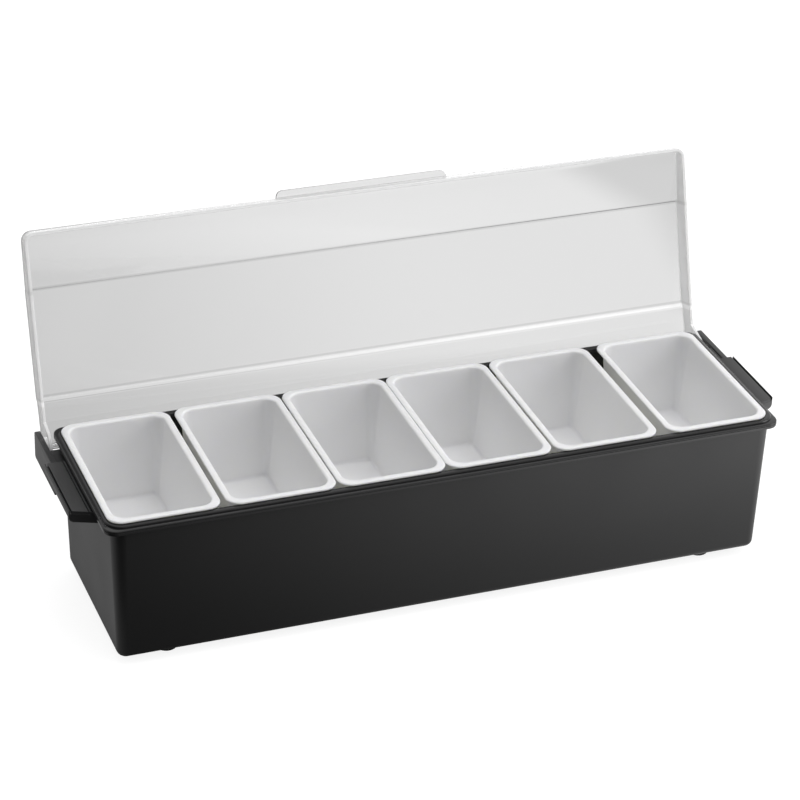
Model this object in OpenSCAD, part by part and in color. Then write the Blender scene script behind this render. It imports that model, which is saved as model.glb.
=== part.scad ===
// Condiment caddy: a long tub on feet, six lift-out trays, one clear flip lid.
// Z is up, Z = 0 is the table, -Y is the front, X runs along the tub.
// The lid is drawn open, which is its rest position.

/* [Tub] */
// outside width of the tub under its rim
tub_width = 144; // [136:0.2:160]
// height of the rim's top face above the tub's underside
tub_height = 108; // [95:0.5:130]
// wall thickness
wall = 2; // [1.8:0.1:2.2]
// floor thickness
floor_t = 2.5; // [2:0.1:4]
// inward lean of the walls, in degrees
draft = 1.75; // [1:0.05:2]
// plan radius of the tub's upright corners at the rim
corner_r = 10; // [9.5:0.5:14]
// rounding between the walls and the floor
base_round = 5.5; // [3:0.5:6]

/* [Rim] */
// how far the rim overhangs the tub at the ends
rim_over_x = 5.2; // [4.6:0.1:6]
// how far the rim overhangs the tub at front and rear
rim_over_y = 2.8; // [2.6:0.1:4]
// thickness of the rim's top plate and turned-down lip
rim_t = 2; // [1.6:0.1:2.4]
// depth of the turned-down lip, from the rim's top face
lip_depth = 4; // [3.5:0.1:5]
// width of the raised bead round the opening
bead_w = 5; // [4.5:0.1:5.4]
// height of the bead above the rim's top face
bead_h = 1.8; // [1:0.1:2.5]

/* [Trays] */
// length of a tray's rim along the tub; the tub's length follows the row of trays
tray_w = 80; // [60:0.5:100]
// spare room left along the row of trays
tray_room = 16; // [4:0.5:24]
// depth of a tray below its rim
tray_depth = 62; // [45:1:80]
// tray wall thickness
tray_wall = 1.5; // [1.2:0.1:2]
// inward lean of the tray walls, in degrees
tray_draft = 5; // [3:0.5:6]
// thickness of the rolled tray rim
tray_rim_t = 2; // [1.6:0.2:2.6]

/* [Lid] */
// opening angle at the stop, in degrees
lid_open = 106.6; // [95:0.1:106.6]
// lid wall thickness
lid_t = 2.3; // [2:0.1:2.6]
// height of the lid's flat top above the rim
lid_rise = 13; // [11:0.5:20]
// height of the front edge of the lid's top above the rim
lid_front_rise = 7.9; // [6:0.1:9]
// plan radius of the lid's front corners
lid_corner = 7; // [5:0.5:9]
// length of the lifting tab
tab_len = 132; // [80:2:180]
// how far the lifting tab sticks out
tab_out = 5.5; // [4:0.5:10]

/* [Hinge] */
// hinge pin diameter
pin_d = 5; // [4:0.5:6]
// radial clearance of the pin in its bore
pin_clear = 0.05; // [0.03:0.01:0.1]
// height of the hinge axis below the rim's top face
hinge_drop = 10; // [9.8:0.1:10.4]

/* [Handles] */
// how far each handle reaches beyond the rim
grip_reach = 15; // [14:0.5:24]
// depth of the handle's front edge in front of the middle
grip_front = 32; // [24:1:45]
// rear edge of the grip behind the middle
grip_rear = 34.5; // [28:0.5:40]
// height of the grip, pad included
grip_h = 9; // [8.5:0.5:14]
// thickness of the grip pad
pad_t = 2.4; // [1.6:0.2:3]
// depth of the hinge ear
ear_h = 21.5; // [18:0.5:28]

/* [Feet] */
// foot height
foot_h = 6; // [4:0.5:10]
// foot diameter
foot_d = 16; // [12:0.5:20]

/* [Hidden] */
$fn = 48;
// air between two separate pieces at rest
gap = 0.3;
// overlap that lets two blocks of one solid grow together
eps = 0.01;
// longer than the part, for cuts that go right through it
far = 1000;
// height of the block that trims the lid to its lower edge
cut_t = 10;

// heights, all from the table
z_base = foot_h;
z_rim = foot_h + tub_height;
z_lip = z_rim - lip_depth;
z_bead = z_rim + bead_h;
z_tray = z_bead + gap;
z_grip = z_rim - 4;
z_pad = z_grip - pad_t;
z_grip_low = z_grip - grip_h;

// the row of trays sets the tub's length
tray_count = 6;
tray_span = tray_count * tray_w + tray_room;
tray_seat_x = 3.2;

// tub plan
hx = tray_span / 2 - tray_seat_x + wall;
hy = tub_width / 2;
cx = hx - corner_r;
cy = hy - corner_r;
slope = tan(draft);
z_wall_top = z_rim - rim_t;
// how far the wall runs up into the rim's plate
wall_root = 0.5;

// rim plan
rim_hx = hx + rim_over_x;
rim_hy = hy + rim_over_y;
rim_r = 9;
rim_round = 0.9;
groove_d = 0.4;
groove_w = 0.6;
groove_drop = 1.1;
open_hx = hx - wall;
open_hy = rim_hy - 7.8;
open_r = 7;
bead_round = 1.4;

// trays
tray_hx = tray_w / 2;
tray_hy = open_hy + 2.9;
tray_r = 10.5;
roll_r = tray_rim_t / 2;
tray_step = 3.5;
tray_body_hx = tray_hx - tray_step;
tray_body_hy = tray_hy - tray_step;
tray_body_r = 11;
tray_cx = tray_body_hx - tray_body_r;
tray_cy = tray_body_hy - tray_body_r;
tray_slope = tan(tray_draft);
// share of the spare room that lies to the left of each tray
tray_shares = [0, 0.21875, 0.28125, 0.3, 0.40625, 0.85];
tray_round = 4;
tray_in_round = 2.5;
tray_lip_r = 1.4;

// lid, in its closed position
lid_gap = 0.5;
lid_hx = rim_hx + 3.6;
lid_in_hx = lid_hx - lid_t;
lid_y0 = -(rim_hy + lid_gap + lid_t);
lid_y1 = rim_hy + 3.7;
lid_low = z_lip + 0.5;
lid_top = z_rim + lid_rise;
lid_front_top = z_rim + lid_front_rise;
crease_1 = -34.4;
crease_2 = 44.7;
step_1 = 1;
step_2 = 2.4;
step_2_run = 3;
rear_drop = 1.7;
tab_drop = 0.4;
tab_t = 2;
tab_r = 5;
tab_root = 0.5;
lid_rear_r = 3;
lid_rear_in_r = 0.7;
// how much of the side walls goes down with the rear wall
rear_keep = 1.5;

// hinge
hinge_z = z_rim - hinge_drop;
hinge_y = rim_hy - 2.1;
leg_r = 8;
leg_front = 15.5;
leg_slant = 2.1;
leg_root = 3;
boss_d = 9;

// the open lid's rear wall stops a gap away from the tub's rear wall
rear_back = lid_y1 - hinge_y;
z_stop = hinge_z - sin(lid_open) * rear_back;
wall_y_stop = hy - (z_rim - 4 - z_stop) * slope;
rear_low = hinge_z + (wall_y_stop + gap - hinge_y - cos(lid_open) * rear_back) / sin(lid_open);

// handles
grip_hx = rim_hx + grip_reach;
strip_in = rim_hx + 0.4;
strip_out = rim_hx + 1.6;
pad_in = rim_hx + 2.2;
ear_in = lid_hx + 2.7;
ear_t = 4;
ear_rear = hinge_y + 10.3;
ear_top = z_grip - 0.5;
ear_low = ear_top - ear_h;
ear_corner = 2.5;
ear_hollow = 8;
ear_foot = 16;
shelf_top = z_grip - 1.5;
shelf_rear = hinge_y - 18.7;
shelf_web = 3;
shell_t = 2;
// wall left standing beside the tub, and air from the edge round to the hollow
tub_side = shell_t + 0.4;
hollow_in = 0.8;
grip_slant = 0.4;
grip_round = 3.2;
rib_t = 1.6;
rib_y = [-22, 0, 22];
// air between a handle and the wall it is pegged to
seat = 0.1;
// where a handle's blocks start, before they are cut back to the wall
root_x = hx - 8;
peg_d = 5;
peg_y = [-24, 24];
peg_z = z_grip - 4.6;
peg_clear = 0.1;
// how far a peg stops short of the wall's inner face, and reaches into its handle
peg_short = 0.2;
peg_root = 1.3;
// how far a hinge pin stands out of its boss
pin_len = 2.3;
boss_len = ear_in - gap - lid_hx;

// feet
foot_x = hx - 41.8;
foot_y = hy - 20;
foot_round = 1.6;
foot_clear = 0.1;
recess = 0.8;

// where a point of the closed lid's side view lies once the lid is open
function open_y(y, z) = hinge_y + (y - hinge_y) * cos(lid_open) + (z - hinge_z) * sin(lid_open);

// the origin stands under the middle of the whole part, lid included
back_y = max(open_y(lid_y0 - tab_out, lid_front_top - tab_drop), open_y(lid_y0, lid_front_top));
mid_y = (back_y - rim_hy) / 2;

// half width of the tub's outside at height z
function tub_x(z) = hx - (z_lip - z) * slope;

// moves a finished piece so that the origin stands under the middle
module in_frame() {
    translate([0, -mid_y, 0])
        children();
}

// rounded rectangle from half sizes
module plan_rect(ax, ay, r) {
    square([2 * ax - 2 * r, 2 * ay], center = true);
    square([2 * ax, 2 * ay - 2 * r], center = true);
    for (sx = [-1, 1], sy = [-1, 1])
        translate([sx * (ax - r), sy * (ay - r)])
            circle(r = r);
}

// carries a flat profile round a rounded rectangle; x = 0 of the profile is
// the axis of the corners, which stand at (+-ax, +-ay)
module carry_round(ax, ay) {
    for (s = [0, 180]) {
        rotate([0, 0, s])
            translate([ax, 0, 0])
                rotate([90, 0, 0])
                    linear_extrude(2 * ay, center = true)
                        children();
        rotate([0, 0, s + 90])
            translate([ay, 0, 0])
                rotate([90, 0, 0])
                    linear_extrude(2 * ax, center = true)
                        children();
    }
    for (q = [0, 1, 2, 3]) {
        sx = (q == 0 || q == 3) ? 1 : -1;
        sy = (q < 2) ? 1 : -1;
        translate([sx * ax, sy * ay, 0])
            rotate([0, 0, 90 * q])
                rotate_extrude(angle = 90)
                    children();
    }
}

// ---------------------------------------------------------------- tub
// wall, floor edge and the rounding between them
module tub_profile() {
    out_low = corner_r - (z_lip - z_base) * slope;
    out_top = corner_r + (z_wall_top - z_lip) * slope;
    top = z_wall_top + wall_root;
    bend = base_round;
    in_r = base_round - wall;
    difference() {
        union() {
            polygon([
                [0, z_base + bend],
                [out_low + bend * slope, z_base + bend],
                [out_top, top],
                [0, top]
            ]);
            translate([0, z_base])
                square([out_low - bend + bend * slope, bend + eps]);
            translate([out_low - bend + bend * slope, z_base + bend])
                circle(r = bend);
        }
        translate([-1, z_base + floor_t + in_r])
            polygon([
                [0, 0],
                [1 + out_low - wall + (floor_t + in_r) * slope, 0],
                [1 + out_top - wall, z_wall_top + 1 - z_base - floor_t - in_r],
                [0, z_wall_top + 1 - z_base - floor_t - in_r]
            ]);
        translate([-1, z_base + floor_t])
            square([1 + out_low - wall + (floor_t + in_r) * slope - in_r, in_r + eps]);
        translate([out_low - wall + (floor_t + in_r) * slope - in_r, z_base + floor_t + in_r])
            circle(r = in_r);
        // nothing on the far side of the corner's axis
        translate([-far, -far])
            square([far, 2 * far]);
    }
}

// turned-down lip with its rounded edge and fine groove
module lip_profile() {
    difference() {
        union() {
            translate([rim_r - rim_t, z_lip])
                square([rim_t, lip_depth - rim_round]);
            translate([rim_r - rim_t, z_lip])
                square([rim_t - rim_round, lip_depth]);
            translate([rim_r - rim_round, z_rim - rim_round])
                circle(r = rim_round);
        }
        translate([rim_r - groove_d, z_rim - groove_drop - groove_w])
            square([groove_d + 1, groove_w]);
    }
}

// raised bead, rounded on both edges
module bead_profile() {
    in_u = open_r;
    out_u = open_r + bead_w;
    translate([in_u, z_wall_top])
        square([bead_w, rim_t + bead_h - bead_round]);
    translate([in_u + bead_round, z_wall_top])
        square([bead_w - 2 * bead_round, rim_t + bead_h]);
    for (u = [in_u + bead_round, out_u - bead_round])
        translate([u, z_bead - bead_round])
            circle(r = bead_round);
}

// plate that closes the step from the opening out to the rim
module rim_plate() {
    translate([0, 0, z_wall_top])
        linear_extrude(rim_t)
            difference() {
                plan_rect(rim_hx - rim_round, rim_hy - rim_round, rim_r - rim_round);
                plan_rect(open_hx, open_hy, open_r);
            }
}

// puts a peg or its hole on an end wall, square to it
module peg_axis(side, y, z) {
    translate([side * tub_x(z), y, z])
        rotate([0, side * (90 - draft), 0])
            children();
}

// the whole tub, with seats for the feet and holes for the handles' pegs
module base_tub() {
    color([0.07, 0.07, 0.075])
    in_frame()
    difference() {
        union() {
            carry_round(cx, cy)
                tub_profile();
            translate([-cx, -cy, z_base])
                cube([2 * cx, 2 * cy, floor_t]);
            rim_plate();
            carry_round(rim_hx - rim_r, rim_hy - rim_r)
                lip_profile();
            carry_round(open_hx - open_r, open_hy - open_r)
                bead_profile();
        }
        for (sx = [-1, 1], sy = [-1, 1])
            translate([sx * foot_x, sy * foot_y, z_base - 1])
                cylinder(r = foot_d / 2 + foot_clear, h = 1 + recess);
        for (side = [-1, 1], y = peg_y)
            peg_axis(side, y, peg_z)
                translate([0, 0, -2 * wall])
                    cylinder(d = peg_d + 2 * peg_clear, h = 3 * wall);
    }
}

// ---------------------------------------------------------------- handles
// plan outline of the grip on the +X side, from x0 outwards
module grip_plan(x0, inset) {
    x1 = grip_hx - inset;
    yf0 = -grip_front - grip_slant * (grip_hx - x0) + inset;
    yf1 = -grip_front - grip_slant * (grip_hx - x1) + inset;
    polygon([[x0, yf0], [x1, yf1], [x1, grip_rear - inset], [x0, grip_rear - inset]]);
}

// end view of the grip block
module grip_end() {
    r = grip_round;
    x0 = root_x - 2;
    translate([x0, z_grip_low])
        square([grip_hx - x0 - r, z_pad - z_grip_low]);
    translate([x0, z_grip_low + r])
        square([grip_hx - x0, z_pad - z_grip_low - r]);
    translate([grip_hx - r, z_grip_low + r])
        circle(r = r);
}

// everything inside the tub's end wall and under its rim, on the +X side
module tub_keepout() {
    rotate([90, 0, 0])
        linear_extrude(far, center = true)
            polygon([
                [0, z_base],
                [tub_x(z_base) + seat, z_base],
                [tub_x(z_rim) + seat, z_rim],
                [0, z_rim]
            ]);
}

// side view of the ear that carries the hinge pin
module ear_side() {
    r = ear_corner;
    h = ear_hollow;
    y0 = grip_rear - ear_foot;
    y1 = grip_rear + gap;
    // plate behind the grip, round at its rear corners
    translate([y1, ear_low])
        square([ear_rear - r - y1, ear_h]);
    translate([y1, ear_low + r])
        square([ear_rear - y1, ear_h - 2 * r]);
    for (z = [ear_low + r, ear_top - r])
        translate([ear_rear - r, z])
            circle(r = r);
    // foot of the plate under the grip, with a hollow corner in front
    translate([y0, ear_low + h])
        square([y1 + 1 - y0, z_pad - ear_low - h]);
    translate([y0 + h, ear_low])
        square([y1 + 1 - y0 - h, h + eps]);
    difference() {
        translate([y0, ear_low])
            square([h + eps, h + eps]);
        translate([y0, ear_low])
            circle(r = h);
    }
}

// a flat side view at x, thickness t in +X
module side_plate(x, t) {
    translate([x, 0, 0])
        rotate([90, 0, 90])
            linear_extrude(t)
                children();
}

// the part of the grip's plan between two distances from the middle
module grip_band(x0, x1) {
    intersection() {
        grip_plan(root_x, 0);
        translate([x0, -far / 2])
            square([x1 - x0, far]);
    }
}

// hollow of the grip in plan, between its outer wall, its ribs and the tub
module grip_hollow() {
    x_far = grip_hx - grip_round - hollow_in;
    difference() {
        intersection() {
            grip_plan(root_x - 1, shell_t);
            translate([root_x - 2, -far / 2])
                square([x_far - root_x + 2, far]);
        }
        for (y = rib_y)
            translate([root_x - 2, y - rib_t / 2])
                square([far, rib_t]);
        translate([root_x - 2, -far / 2])
            square([hx + tub_side - root_x + 2, far]);
    }
}

// grip block, round along its lower outer edge and hollow from below
module grip_block() {
    difference() {
        intersection() {
            translate([0, 0, z_grip_low])
                linear_extrude(z_pad - z_grip_low)
                    grip_plan(root_x, 0);
            rotate([90, 0, 0])
                linear_extrude(far, center = true)
                    grip_end();
        }
        translate([0, 0, z_grip_low - 1])
            linear_extrude(z_pad - z_grip_low + 1 - shell_t)
                grip_hollow();
    }
}

// shelf between the tub and the ear, with its end web
module shelf() {
    reach = ear_in - root_x + eps;
    translate([root_x, grip_rear - shelf_web, z_grip_low])
        cube([reach, shelf_rear - grip_rear + shelf_web, z_pad - z_grip_low]);
    translate([root_x, grip_rear + gap, z_pad - 1])
        cube([reach, shelf_rear - grip_rear - gap, shelf_top - z_pad + 1]);
    translate([root_x, shelf_rear - shell_t, ear_low + shelf_web])
        cube([reach, shell_t, shelf_top - ear_low - shelf_web]);
}

// hollow under the shelf
module shelf_hollow() {
    translate([hx + tub_side, grip_rear + shell_t, z_grip_low - 1])
        cube([
            ear_in - hx - tub_side - eps,
            shelf_rear - grip_rear - 2 * shell_t,
            shelf_top - z_grip_low + 1 - shell_t
        ]);
}

// the handle on the +X side: grip, ledge, strip, ear, shelf and pegs
module handle_solid() {
    difference() {
        union() {
            grip_block();
            // ledge under the rim, and the thin strip beside it
            translate([0, 0, z_pad - eps])
                linear_extrude(z_grip - gap - z_pad)
                    grip_band(root_x - 2, strip_out);
            translate([0, 0, z_pad])
                linear_extrude(pad_t)
                    grip_band(strip_in, strip_out);
            side_plate(ear_in, ear_t)
                ear_side();
            shelf();
        }
        shelf_hollow();
        tub_keepout();
        // blind bore for the lid's pin
        translate([ear_in - 1, hinge_y, hinge_z])
            rotate([0, 90, 0])
                cylinder(d = pin_d + 2 * pin_clear, h = 1 + pin_len + gap);
    }
    for (y = peg_y)
        peg_axis(1, y, peg_z)
            translate([0, 0, peg_short - wall])
                cylinder(d = peg_d, h = wall - peg_short + seat + peg_root);
}

// flat pad on top of the grip
module grip_pad() {
    translate([0, 0, z_pad])
        linear_extrude(pad_t)
            grip_plan(pad_in, 0);
}

module right_handle() {
    color([0.08, 0.08, 0.085])
    in_frame()
        handle_solid();
}

module left_handle() {
    color([0.08, 0.08, 0.085])
    in_frame()
    mirror([1, 0, 0])
        handle_solid();
}

module right_grip_pad() {
    color([0.1, 0.1, 0.1])
    in_frame()
        grip_pad();
}

module left_grip_pad() {
    color([0.1, 0.1, 0.1])
    in_frame()
    mirror([1, 0, 0])
        grip_pad();
}

// ---------------------------------------------------------------- lid
// side outline of the lid's outside: front, crowned top, rear
module lid_side(d, low) {
    // d moves the outline inwards
    y0 = lid_y0 + d;
    y1 = lid_y1 - d;
    zf = lid_front_top - d;
    zt = lid_top - d;
    k1 = (lid_top - step_1 - lid_front_top) / (crease_1 - 1 - lid_y0);
    zr = lid_top - step_2 - d;
    polygon([
        [y0, low],
        [y0, zf + k1 * d],
        [crease_1 - 1, zt - step_1],
        [crease_1, zt],
        [crease_2, zt],
        [crease_2 + step_2_run, zr],
        [y1, zr - rear_drop],
        [y1, low]
    ]);
}

// a side view drawn out along X to both sides of the middle
module along_x(half) {
    rotate([90, 0, 90])
        linear_extrude(2 * half, center = true)
            children();
}

// plan outline of the lid, d inwards: round corners at the front, small at the rear
module lid_plan(d) {
    ax = lid_hx - d;
    rf = lid_corner - d;
    rr = max(lid_rear_r - d, lid_rear_in_r);
    y0 = lid_y0 + d;
    y1 = lid_y1 - d;
    translate([-ax, y0 + rf])
        square([2 * ax, y1 - y0 - rf - rr]);
    translate([-ax + rf, y0])
        square([2 * ax - 2 * rf, rf + 1]);
    translate([-ax + rr, y1 - rr - 1])
        square([2 * ax - 2 * rr, rr + 1]);
    for (s = [-1, 1]) {
        translate([s * (ax - rf), y0 + rf])
            circle(r = rf);
        translate([s * (ax - rr), y1 - rr])
            circle(r = rr);
    }
}

// hinge leg in side view: round end on the axis, run up into the side wall
module leg_side() {
    translate([hinge_y, hinge_z])
        circle(r = leg_r);
    polygon([
        [hinge_y - leg_front, lid_low + 0.5],
        [hinge_y - leg_front + leg_slant, lid_low],
        [hinge_y - leg_r * cos(35), hinge_z - leg_r * sin(35)],
        [hinge_y, hinge_z],
        [hinge_y + leg_r * cos(20), hinge_z + leg_r * sin(20)],
        [lid_y1, hinge_z + leg_r],
        [lid_y1, lid_low + leg_root],
        [hinge_y - leg_front, lid_low + leg_root]
    ]);
}

// the lid's outer block (d = 0), or what its inside takes away (d = lid_t)
module lid_block(d) {
    intersection() {
        along_x(lid_hx)
            lid_side(d, rear_low - 1 - d);
        linear_extrude(far)
            lid_plan(d);
    }
}

// takes away all that lies below z and in front of y
module cut_below(y, z) {
    translate([-far / 2, -far / 2, z - cut_t])
        cube([far, y + far / 2, cut_t]);
}

// crowned top and the walls round it; the rear wall hangs lower than the rest
module lid_shell() {
    difference() {
        lid_block(0);
        lid_block(lid_t);
        cut_below(lid_y1 - lid_t - rear_keep, lid_low);
        cut_below(far / 2, rear_low);
    }
}

// leg, boss and pin on the +X side
module lid_hinge_side() {
    side_plate(lid_in_hx, lid_t)
        leg_side();
    translate([lid_hx - eps, hinge_y, hinge_z])
        rotate([0, 90, 0])
            cylinder(d = boss_d, h = boss_len + eps);
    translate([lid_hx, hinge_y, hinge_z])
        rotate([0, 90, 0])
            cylinder(d = pin_d, h = boss_len + pin_len);
}

// tab that a finger lifts, on the front wall
module lifting_tab() {
    translate([0, lid_y0, lid_front_top - tab_drop - tab_t])
        linear_extrude(tab_t)
            difference() {
                plan_rect(tab_len / 2, tab_out, tab_r);
                translate([-far / 2, tab_root])
                    square([far, far]);
            }
}

// the whole lid as it lies when it is shut
module lid_closed() {
    lid_shell();
    for (m = [0, 1])
        mirror([m, 0, 0])
            lid_hinge_side();
    lifting_tab();
}

// the lid swung open to its stop
module lid() {
    color([0.85, 0.88, 0.9, 0.35])
    in_frame()
    translate([0, hinge_y, hinge_z])
        rotate([-lid_open, 0, 0])
            translate([0, -hinge_y, -hinge_z])
                lid_closed();
}

// ---------------------------------------------------------------- trays
// section of a tray's wall, with the tray's underside at z = 0
module tray_profile() {
    out_top = tray_body_r;
    out_low = tray_body_r - tray_depth * tray_slope;
    zt = tray_depth + tray_rim_t;
    bend = tray_round;
    in_r = tray_in_round;
    ft = tray_wall;
    difference() {
        union() {
            polygon([
                [0, bend],
                [out_low + bend * tray_slope, bend],
                [out_top, tray_depth],
                [out_top, zt - tray_lip_r],
                [0, zt - tray_lip_r]
            ]);
            square([out_low + bend * tray_slope - bend, bend + eps]);
            translate([out_low + bend * tray_slope - bend, bend])
                circle(r = bend);
            translate([out_top - tray_wall + tray_lip_r, zt - tray_lip_r])
                circle(r = tray_lip_r);
        }
        translate([-1, ft + in_r])
            polygon([
                [0, 0],
                [1 + out_low - tray_wall + (ft + in_r) * tray_slope, 0],
                [1 + out_top - tray_wall, zt - tray_lip_r - ft - in_r],
                [0, zt - tray_lip_r - ft - in_r + eps]
            ]);
        translate([-1, ft])
            square([1 + out_low - tray_wall + (ft + in_r) * tray_slope - in_r, in_r + eps]);
        translate([out_low - tray_wall + (ft + in_r) * tray_slope - in_r, ft + in_r])
            circle(r = in_r);
        // nothing on the far side of the corner's axis
        translate([-far, -far])
            square([far, 2 * far]);
    }
}

// a tray with its underside at z = 0
module tray_solid() {
    carry_round(tray_cx, tray_cy)
        tray_profile();
    translate([-tray_cx, -tray_cy, 0])
        cube([2 * tray_cx, 2 * tray_cy, tray_wall]);
    translate([0, 0, tray_depth])
        linear_extrude(tray_rim_t)
            difference() {
                plan_rect(tray_hx - roll_r, tray_hy - roll_r, tray_r - roll_r);
                plan_rect(
                    tray_body_hx - tray_wall + tray_lip_r,
                    tray_body_hy - tray_wall + tray_lip_r,
                    tray_body_r - tray_wall + tray_lip_r
                );
            }
    carry_round(tray_hx - tray_r, tray_hy - tray_r)
        translate([tray_r - roll_r, tray_depth + roll_r])
            circle(r = roll_r);
}

// tray i counts from the left
module tray(i) {
    x = -tray_span / 2 + tray_hx + i * tray_w + tray_room * tray_shares[i];
    color([0.93, 0.93, 0.92])
    in_frame()
    translate([x, 0, z_tray - tray_depth])
        tray_solid();
}

// ---------------------------------------------------------------- feet
// one foot, let into its seat in the tub's underside
module foot(sx, sy) {
    r = foot_d / 2;
    e = foot_round;
    color([0.05, 0.05, 0.05])
    in_frame()
    translate([sx * foot_x, sy * foot_y, 0])
        rotate_extrude()
            intersection() {
                union() {
                    translate([0, e])
                        square([r, foot_h + recess - e]);
                    square([r - e, e + eps]);
                    translate([r - e, e])
                        circle(r = e);
                }
                square([r, foot_h + recess]);
            }
}

base_tub();
left_handle();
right_handle();
left_grip_pad();
right_grip_pad();
lid();
tray(0);  // tray_1
tray(1);  // tray_2
tray(2);  // tray_3
tray(3);  // tray_4
tray(4);  // tray_5
tray(5);  // tray_6
foot(-1, -1);  // foot_front_left
foot(1, -1);  // foot_front_right
foot(-1, 1);  // foot_rear_left
foot(1, 1);  // foot_rear_right
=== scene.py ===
# %% [markdown]
# # A garnish caddy with six lift-out trays and one clear lid
#
# The object is a long black tub on four feet. Its polished rim carries a row of six white
# trays, a handle at each end, and a clear lid that swings on two pins in the handles' ears.
# A separate CAD model holds every size and every joint. This lesson keeps to those sizes and
# gives each piece its real surface: soft moulded edges, grain, polish and clear plastic.
#
# The frame is loaded first. Its box is kept, because the dressed model must stay inside it.

# %% Load the frame
import math

import bmesh
import bpy
from mathutils import Matrix, Vector


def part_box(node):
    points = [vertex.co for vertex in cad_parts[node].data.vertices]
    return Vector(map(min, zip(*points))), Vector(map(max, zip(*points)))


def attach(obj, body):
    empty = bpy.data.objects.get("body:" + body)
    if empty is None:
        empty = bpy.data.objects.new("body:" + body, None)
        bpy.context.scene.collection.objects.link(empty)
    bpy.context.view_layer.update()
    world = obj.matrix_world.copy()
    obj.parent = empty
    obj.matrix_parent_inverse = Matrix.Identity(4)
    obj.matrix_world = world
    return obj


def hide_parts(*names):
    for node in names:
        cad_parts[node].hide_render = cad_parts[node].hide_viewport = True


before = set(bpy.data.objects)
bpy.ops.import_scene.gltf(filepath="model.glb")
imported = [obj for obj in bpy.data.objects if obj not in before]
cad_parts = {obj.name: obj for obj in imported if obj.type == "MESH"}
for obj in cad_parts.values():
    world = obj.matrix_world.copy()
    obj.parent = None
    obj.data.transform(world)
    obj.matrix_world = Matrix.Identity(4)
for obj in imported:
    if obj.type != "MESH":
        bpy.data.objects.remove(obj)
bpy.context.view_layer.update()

# %% [markdown]
# ## Sizes
#
# Blender works in metres and a toolmaker thinks in millimetres, so every size below is written
# in millimetres and turned into metres once, when a mesh is made. The big sizes are measured
# from the frame. Only wall thicknesses, radii, small steps and places on the lid are numbers.

# %% Sizes that the frame gives, in millimetres
MM = 0.001


def box_mm(node):
    """Lowest and highest corner of a CAD node, in millimetres."""
    low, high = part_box(node)
    return low / MM, high / MM


tub_low, tub_high = box_mm("base_tub")
tray_low, tray_high = box_mm("tray_1")
foot_low, foot_high = box_mm("foot_front_right")

TUB_MIDDLE_Y = (tub_low.y + tub_high.y) / 2
RIM_HALF_X = (tub_high.x - tub_low.x) / 2
RIM_HALF_Y = (tub_high.y - tub_low.y) / 2
BEAD_TOP = tub_high.z
TUB_BOTTOM = tub_low.z
TRAY_HALF_X = (tray_high.x - tray_low.x) / 2
TRAY_HALF_Y = (tray_high.y - tray_low.y) / 2
TRAY_TOP = tray_high.z
TRAY_BOTTOM = tray_low.z
FOOT_RADIUS = (foot_high.x - foot_low.x) / 2

print(f"rim {2 * RIM_HALF_X:.1f} x {2 * RIM_HALF_Y:.1f}, bead top at {BEAD_TOP:.1f}")
print(f"tray {2 * TRAY_HALF_X:.1f} x {2 * TRAY_HALF_Y:.1f}, {TRAY_TOP - TRAY_BOTTOM:.1f} deep")

# %% [markdown]
# ## Camera
#
# The camera comes first, since every later choice is judged through it. A long lens from about
# two metres away keeps the tub's far edges nearly parallel, as a catalogue picture does. The
# three turns are worked out as a view direction, a level right-hand direction and a small roll.

# %% Camera
CAMERA_PLACE = Vector((-0.6776, -1.7487, 1.1646))
CAMERA_HEADING = math.radians(21.07)
CAMERA_DOWN = math.radians(29.14)
CAMERA_ROLL = math.radians(1.79)
SENSOR_WIDTH = 36.0
LENS = 133.23
FARTHEST_SEEN = 20


def aim_camera():
    """Makes the camera and turns it by heading, downward tilt and roll."""
    level = math.cos(CAMERA_DOWN)
    forward = Vector((
        math.sin(CAMERA_HEADING) * level,
        math.cos(CAMERA_HEADING) * level,
        -math.sin(CAMERA_DOWN),
    ))
    right = Vector((math.cos(CAMERA_HEADING), -math.sin(CAMERA_HEADING), 0))
    up = right.cross(forward)
    rolled_right = right * math.cos(CAMERA_ROLL) + up * math.sin(CAMERA_ROLL)
    rolled_up = up * math.cos(CAMERA_ROLL) - right * math.sin(CAMERA_ROLL)
    turn = Matrix((rolled_right, rolled_up, -forward)).transposed()
    camera_data = bpy.data.cameras.new("studio_camera")
    camera_data.sensor_width = SENSOR_WIDTH
    camera_data.lens = LENS
    camera_data.clip_end = FARTHEST_SEEN
    camera = bpy.data.objects.new("studio_camera", camera_data)
    camera.matrix_world = Matrix.Translation(CAMERA_PLACE) @ turn.to_4x4()
    bpy.context.collection.objects.link(camera)
    bpy.context.scene.camera = camera


aim_camera()
print("camera is", round(CAMERA_PLACE.length, 2), "m from the middle of the floor")

# %% [markdown]
# ## Small helpers for node trees
#
# Materials, the world and Geometry Nodes are all node trees. A few short helpers keep them
# readable: they add a node with its settings, feed a Math node, make a soft step between two
# values, split a place into its parts, and mix two shaders. Places on the object and on the
# floor are Object coordinates, in metres.

# %% Node helpers
def add_node(tree, kind, **settings):
    """Adds a node of one kind and sets its properties by name."""
    node = tree.nodes.new(kind)
    for name, value in settings.items():
        setattr(node, name, value)
    return node


def feed(tree, socket, value):
    """Links an output socket to an input, or types a plain value into it."""
    if isinstance(value, bpy.types.NodeSocket):
        tree.links.new(value, socket)
    else:
        socket.default_value = value


def compute(tree, operation, *values, kind="ShaderNodeMath"):
    """One Math node; returns its output socket."""
    node = add_node(tree, kind, operation=operation)
    for socket, value in zip(node.inputs, values):
        feed(tree, socket, value)
    return node.outputs[0]


def compute_whole(tree, operation, *values):
    """One Integer Math node; returns its output socket."""
    return compute(tree, operation, *values, kind="FunctionNodeIntegerMath")


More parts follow.
